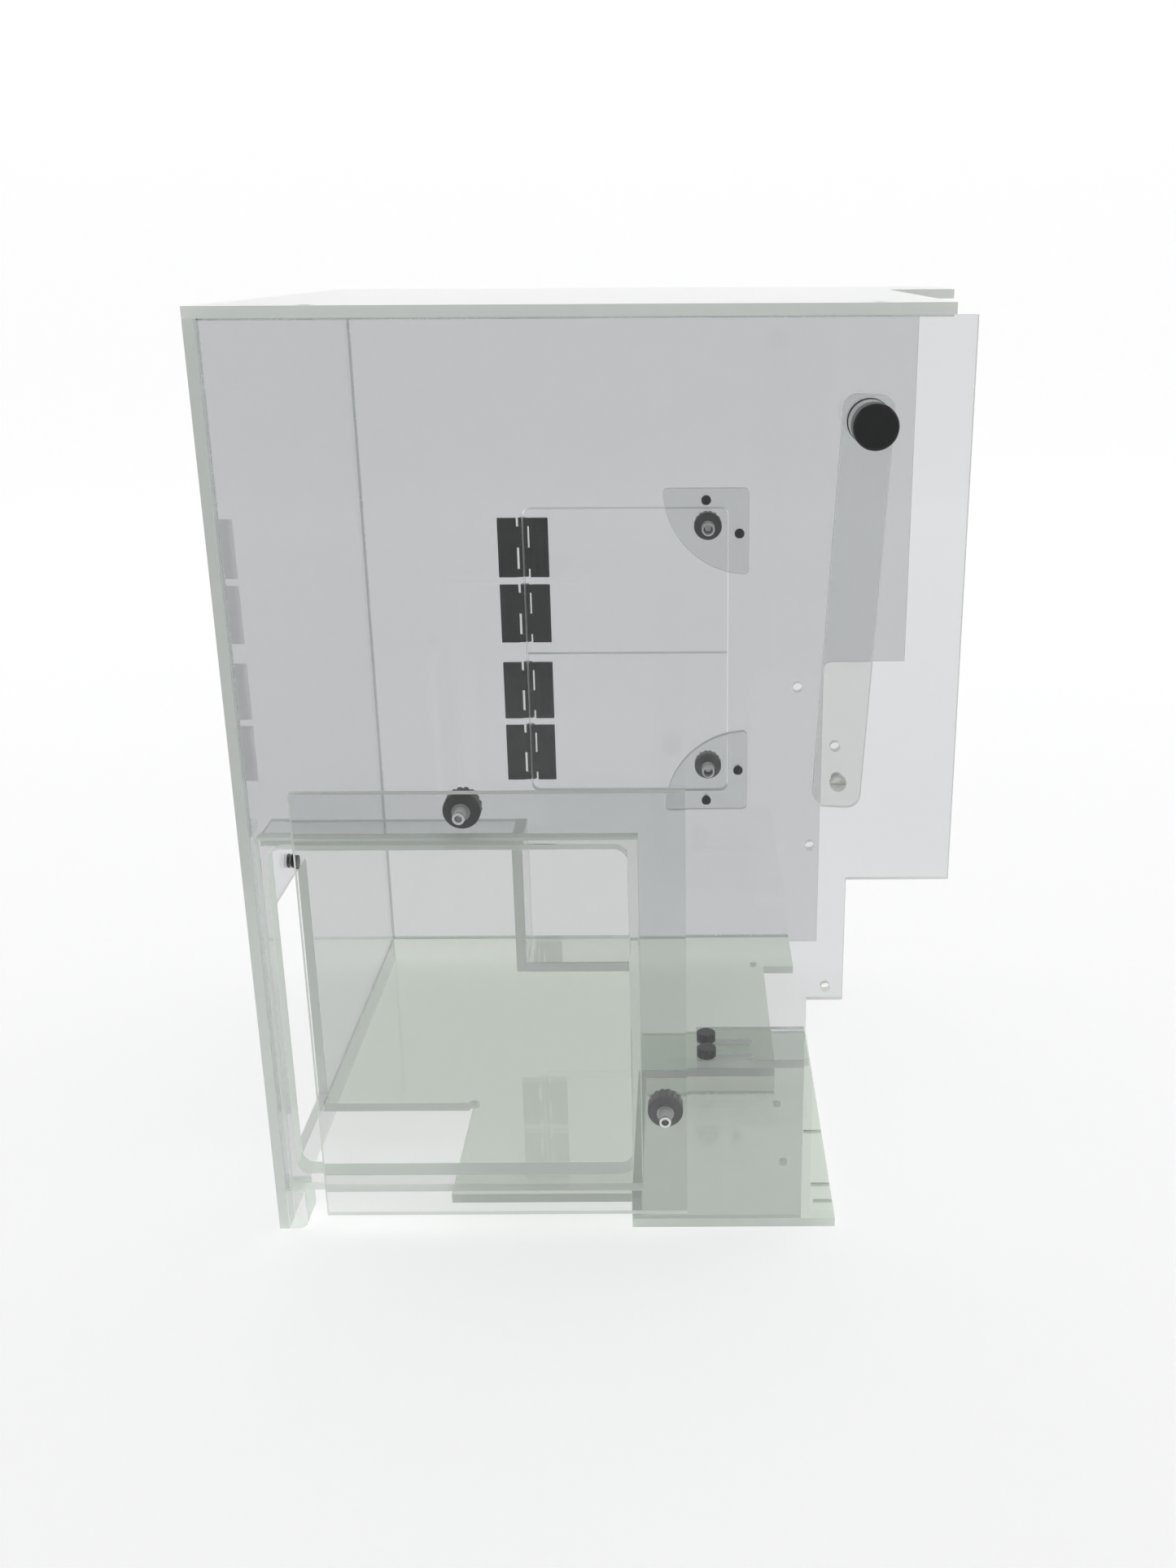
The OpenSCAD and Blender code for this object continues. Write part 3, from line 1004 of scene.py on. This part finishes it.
# %% Set solvent cement
CEMENT, tree, out = new_material("set_solvent_cement")
coords = add(tree, "ShaderNodeTexCoord")
fizz = add(
    tree,
    "ShaderNodeTexNoise",
    {"Vector": coords.outputs["Object"], "Scale": 700.0, "Detail": 2.0},
)
milky = add(
    tree,
    "ShaderNodeMapRange",
    {
        "Value": fizz.outputs["Fac"],
        "From Min": 0.35,
        "From Max": 0.7,
        "To Min": 0.12,
        "To Max": 0.3,
    },
)
bead_glass = add(
    tree,
    "ShaderNodeBsdfPrincipled",
    {
        "Base Color": linear("f2f5f3"),
        "Roughness": milky.outputs[0],
        "IOR": SHEET_IOR,
        "Transmission Weight": 0.85,
    },
)
tree.links.new(bead_glass.outputs[0], out.inputs["Surface"])


def bead_tree():
    """Lines in, round beads of slightly wandering width out."""
    tree = bpy.data.node_groups.new("cement_bead", "GeometryNodeTree")
    face = tree.interface
    face.new_socket("Geometry", in_out="OUTPUT", socket_type="NodeSocketGeometry")
    face.new_socket("Geometry", in_out="INPUT", socket_type="NodeSocketGeometry")
    face.new_socket("Bead Radius", in_out="INPUT", socket_type="NodeSocketFloat")
    face.new_socket("Material", in_out="INPUT", socket_type="NodeSocketMaterial")
    given = add(tree, "NodeGroupInput")
    lines = add(tree, "GeometryNodeMeshToCurve", {"Mesh": given.outputs["Geometry"]})
    fine = add(tree, "GeometryNodeResampleCurve", {"Curve": lines.outputs[0], "Count": 40})
    wander = add(tree, "ShaderNodeTexNoise", {"Scale": 40.0, "Detail": 2.0})
    swell = add(
        tree,
        "ShaderNodeMapRange",
        {
            "Value": wander.outputs["Fac"],
            "From Min": 0.3,
            "From Max": 0.7,
            "To Min": 0.75,
            "To Max": 1.15,
        },
    )
    varied = add(
        tree,
        "GeometryNodeSetCurveRadius",
        {"Curve": fine.outputs[0], "Radius": swell.outputs[0]},
    )
    ring = add(
        tree,
        "GeometryNodeCurvePrimitiveCircle",
        {"Resolution": 8, "Radius": given.outputs["Bead Radius"]},
    )
    # The profile is scaled by the curve's own radius at each point
    spread = add(tree, "GeometryNodeInputRadius")
    beads = add(
        tree,
        "GeometryNodeCurveToMesh",
        {
            "Curve": varied.outputs[0],
            "Profile Curve": ring.outputs["Curve"],
            "Scale": spread.outputs[0],
            "Fill Caps": True,
        },
    )
    real = add(tree, "GeometryNodeRealizeInstances", {"Geometry": beads.outputs[0]})
    finish = add(
        tree,
        "GeometryNodeSetMaterial",
        {"Geometry": real.outputs[0], "Material": given.outputs["Material"]},
    )
    result = add(tree, "NodeGroupOutput")
    tree.links.new(finish.outputs[0], result.inputs[0])
    return tree


# %% Lay the beads in the inside corners
BEAD = 0.55 * MM
# Where a bead stops short: at the top panel's cut corner, at the floor's
# notch, and at the side riser
TOP_CORNER = 45 * MM
FLOOR_CORNER = 107 * MM
RISER_START = 7 * MM
_, side_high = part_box("side_panel")
front_low, front_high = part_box("front_panel")
_, back_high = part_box("back_panel")
floor_low, floor_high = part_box("floor_panel")
top_low, top_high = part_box("top_panel")
_, frame_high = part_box("window_frame")
ledge_low, ledge_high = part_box("ledge_plate")
cross_low, cross_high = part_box("cross_riser")
in_x = side_high.x + BEAD
in_front = front_low.y - BEAD
in_back = back_high.y + BEAD
in_top = top_low.z - BEAD
on_floor = floor_high.z + BEAD
sill_z = frame_high.z + BEAD
under_ledge = (frame_high.y + BEAD, ledge_low.z - BEAD)
by_riser = (cross_low.y - BEAD, cross_low.z + BEAD)
BEAD_LINES = [
    ((in_x, in_front, on_floor), (in_x, in_front, in_top)),
    ((in_x, in_back, sill_z), (in_x, in_back, in_top)),
    ((in_x, in_back, in_top), (in_x, in_front, in_top)),
    ((in_x, in_front, in_top), (front_high.x - BEAD, in_front, in_top)),
    ((in_x, in_back, in_top), (top_high.x - TOP_CORNER, in_back, in_top)),
    ((in_x, in_front, on_floor), (floor_high.x - BEAD, in_front, on_floor)),
    ((in_x, floor_low.y + FLOOR_CORNER, on_floor), (in_x, in_front, on_floor)),
    ((ledge_low.x, *under_ledge), (ledge_high.x, *under_ledge)),
    ((cross_low.x + RISER_START, *by_riser), (cross_high.x, *by_riser)),
]
wires = bpy.data.meshes.new("cement_wires")
wires.from_pydata(
    [end for line in BEAD_LINES for end in line],
    [(2 * i, 2 * i + 1) for i in range(len(BEAD_LINES))],
    [],
)
beads = run_tree(
    "cement_beads", bead_tree(), {"Bead Radius": BEAD, "Material": CEMENT}, wires
)
smooth(beads, 50)
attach(beads, "box_frame")
print("beads", len(BEAD_LINES), "lines", len(beads.data.polygons), "faces")

# %% [markdown]
# ## Floor, backdrop, light and camera
# Clear plastic has no colour of its own to light, so it is shown by what it
# bends and mirrors. A round paper cove stands behind and below it and glows
# like a light table. The floor in front is a little darker, so that each face
# mirrors something darker than what shows through it, and the panels read as
# grey against white. Wide soft lamps keep the shadows faint.


# %% Studio cove
def cove(name, floor_radius, bend, height):
    """A round floor that curves up into a wall all the way round."""
    low = cad_box[0][2] - 0.2 * MM
    arc_steps = 16
    around = 72
    line = [(0.5 * floor_radius, 0.0), (floor_radius, 0.0)]
    for i in range(1, arc_steps + 1):
        a = math.radians(90) * i / arc_steps
        line.append((floor_radius + bend * math.sin(a), bend - bend * math.cos(a)))
    line.append((floor_radius + bend, height))
    shell = bmesh.new()
    centre = shell.verts.new((0, 0, low))
    rings = [
        [
            shell.verts.new((r * math.cos(t), r * math.sin(t), z + low))
            for t in (math.tau * j / around for j in range(around))
        ]
        for r, z in line
    ]
    for j in range(around):
        k = (j + 1) % around
        shell.faces.new((centre, rings[0][j], rings[0][k]))
        for inner, outer in zip(rings, rings[1:]):
            shell.faces.new((inner[j], outer[j], outer[k], inner[k]))
    mesh = bpy.data.meshes.new(name)
    shell.to_mesh(mesh)
    shell.free()
    obj = bpy.data.objects.new(name, mesh)
    bpy.context.scene.collection.objects.link(obj)
    smooth(obj, 60)
    return obj


PAPER_GLOW = 0.56
FRONT_FLOOR = 0.25
FRONT_WALL = 0.5
paper, tree, out = new_material("lit_white_paper")
coords = add(tree, "ShaderNodeTexCoord")
axes = add(tree, "ShaderNodeSeparateXYZ", {"Vector": coords.outputs["Object"]})
# The paper glows behind and under the object, and at half strength on the
# wall in front. The glow fades out on the floor in front, so that the panels
# mirror something darker
behind = add(
    tree,
    "ShaderNodeMapRange",
    {
        "Value": axes.outputs["Y"],
        "From Min": -1.0,
        "From Max": -0.42,
        "To Min": FRONT_FLOOR,
    },
    interpolation_type="SMOOTHSTEP",
)
on_wall = add(
    tree,
    "ShaderNodeMapRange",
    {
        "Value": axes.outputs["Z"],
        "From Min": 0.1,
        "From Max": 1.0,
        "To Max": FRONT_WALL,
    },
    interpolation_type="SMOOTHSTEP",
)
lit = add(
    tree,
    "ShaderNodeMath",
    {0: behind.outputs[0], 1: on_wall.outputs[0]},
    operation="MAXIMUM",
)
glow = add(
    tree, "ShaderNodeMath", {0: lit.outputs[0], 1: PAPER_GLOW}, operation="MULTIPLY"
)
paper_skin = add(
    tree,
    "ShaderNodeBsdfPrincipled",
    {
        "Base Color": linear("d2d2d2"),
        "Roughness": 0.9,
        "Emission Color": linear("ffffff"),
        "Emission Strength": glow.outputs[0],
    },
)
tree.links.new(paper_skin.outputs[0], out.inputs["Surface"])
backdrop = cove("studio_cove", floor_radius=2.6, bend=1.2, height=3.2)
backdrop.data.materials.append(paper)
print("cove", len(backdrop.data.polygons), "faces")


# %% Lamps and room light
def soft_lamp(name, place, target, size, power):
    """A square area lamp that faces a point."""
    lamp = bpy.data.lights.new(name, "AREA")
    lamp.size = size
    lamp.energy = power
    obj = bpy.data.objects.new(name, lamp)
    obj.location = place
    aim = Vector(target) - Vector(place)
    obj.rotation_euler = aim.to_track_quat("-Z", "Y").to_euler()
    bpy.context.scene.collection.objects.link(obj)


CENTRE = (0, 0, 0.27)
soft_lamp("overhead", (0.1, 0.8, 2.9), (0, 0.3, 0), size=2.6, power=17)
soft_lamp("left", (-2.6, 0.5, 2.1), CENTRE, size=1.6, power=5)
soft_lamp("right_back", (2.5, 1.2, 2.1), CENTRE, size=1.6, power=5)

ROOM_LIGHT = 0.13
world = bpy.data.worlds.new("room")
bpy.context.scene.world = world
world.use_nodes = True
world.node_tree.nodes.clear()
room = add(
    world.node_tree,
    "ShaderNodeBackground",
    {"Color": linear("f2f4f6"), "Strength": ROOM_LIGHT},
)
room_out = add(world.node_tree, "ShaderNodeOutputWorld")
world.node_tree.links.new(room.outputs[0], room_out.inputs[0])

# %% Camera
CAMERA_PLACE = (0.0356, -0.9749, 0.5692)
LOOK_DOWN = 19.23
ROLL = -0.3
camera_data = bpy.data.cameras.new("camera")
camera_data.lens = 35.0
camera_data.sensor_width = 36.0
camera_data.shift_x = -0.062
camera = bpy.data.objects.new("camera", camera_data)
bpy.context.scene.collection.objects.link(camera)
camera.matrix_world = (
    Matrix.Translation(CAMERA_PLACE)
    @ Matrix.Rotation(math.radians(90 - LOOK_DOWN), 4, "X")
    @ Matrix.Rotation(math.radians(ROLL), 4, "Z")
)
bpy.context.scene.camera = camera

# Light crosses many sheets here, so rays may go on for longer than usual
cycles = bpy.context.scene.cycles
BOUNCES = 24
cycles.max_bounces = BOUNCES
cycles.transmission_bounces = BOUNCES
cycles.transparent_max_bounces = BOUNCES
bpy.context.scene.view_settings.view_transform = "Standard"
print("camera at", CAMERA_PLACE)
